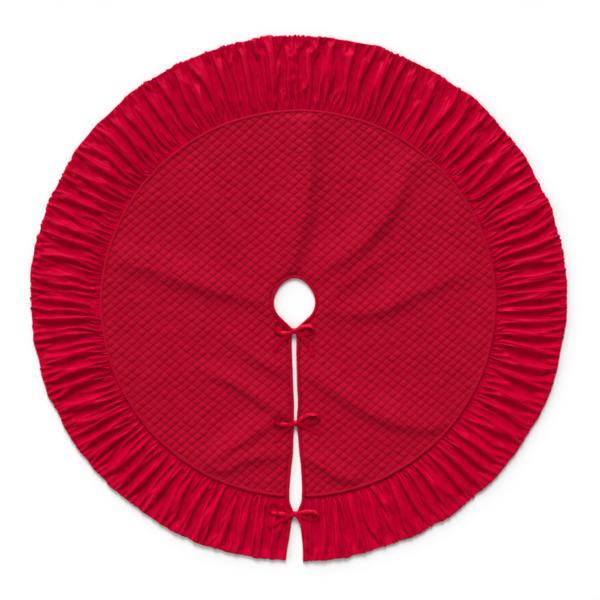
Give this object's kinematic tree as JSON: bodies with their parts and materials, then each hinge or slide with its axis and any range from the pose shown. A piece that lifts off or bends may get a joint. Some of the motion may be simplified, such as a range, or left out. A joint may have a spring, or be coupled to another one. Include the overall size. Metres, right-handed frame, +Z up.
{
  "type": "tree skirt",
  "caption": "Round quilted satin tree skirt with a gathered border, a trunk opening and a front slit tied with ribbon bows; its front flaps fold back to go round a tree.",
  "frame": {"origin": "centre of the trunk opening, on the floor", "axes": "+Z up; the slit runs from the trunk opening towards -Y; +X to the right seen from above with the slit at the bottom"},
  "size_m": [1.524, 1.4929, 0.0222],
  "materials": {
    "quilt_satin": "quilted polyester satin with a soft sheen",
    "border_satin": "gathered polyester satin with a bright sheen",
    "binding_satin": "satin bias binding, topstitched",
    "ribbon_satin": "double-faced satin ribbon",
    "lining_cloth": "plain matt polyester lining",
    "batting_fibre": "bonded polyester wadding",
    "seam_tape": "woven twill tape",
    "thread": "polyester sewing thread"
  },
  "bodies": {
    "back_panel": {"batting_back": "batting_fibre", "collar_binding_back": "binding_satin", "hem_tape_back": "seam_tape", "lining_back": "lining_cloth", "quilted_face_back": "quilt_satin", "ruched_border_back_left": "border_satin", "ruched_border_back_right": "border_satin", "seam_tape_back": "seam_tape"},
    "left_front_flap": {"bar_tacks_left": "thread", "batting_left": "batting_fibre", "collar_binding_left": "binding_satin", "hem_tape_left": "seam_tape", "lining_left": "lining_cloth", "quilted_face_left": "quilt_satin", "ruched_border_left": "border_satin", "seam_tape_left": "seam_tape", "slit_binding_left": "binding_satin", "tie_lower_left": "ribbon_satin", "tie_middle_left": "ribbon_satin", "tie_upper_left": "ribbon_satin"},
    "right_front_flap": {"bar_tacks_right": "thread", "batting_right": "batting_fibre", "collar_binding_right": "binding_satin", "hem_tape_right": "seam_tape", "lining_right": "lining_cloth", "quilted_face_right": "quilt_satin", "ruched_border_right": "border_satin", "seam_tape_right": "seam_tape", "slit_binding_right": "binding_satin", "tie_lower_right": "ribbon_satin", "tie_middle_right": "ribbon_satin", "tie_upper_right": "ribbon_satin"}
  },
  "joints": [
    {"name": "left_flap_fold", "type": "hinge", "parent": "back_panel", "child": "left_front_flap", "pos_m": [0, 0, 0.0157], "axis": [-0.7071, -0.7071, 0], "range_deg": [0, 150]},
    {"name": "right_flap_fold", "type": "hinge", "parent": "back_panel", "child": "right_front_flap", "pos_m": [0, 0, 0.0157], "axis": [-0.7071, 0.7071, 0], "range_deg": [0, 150]}
  ]
}
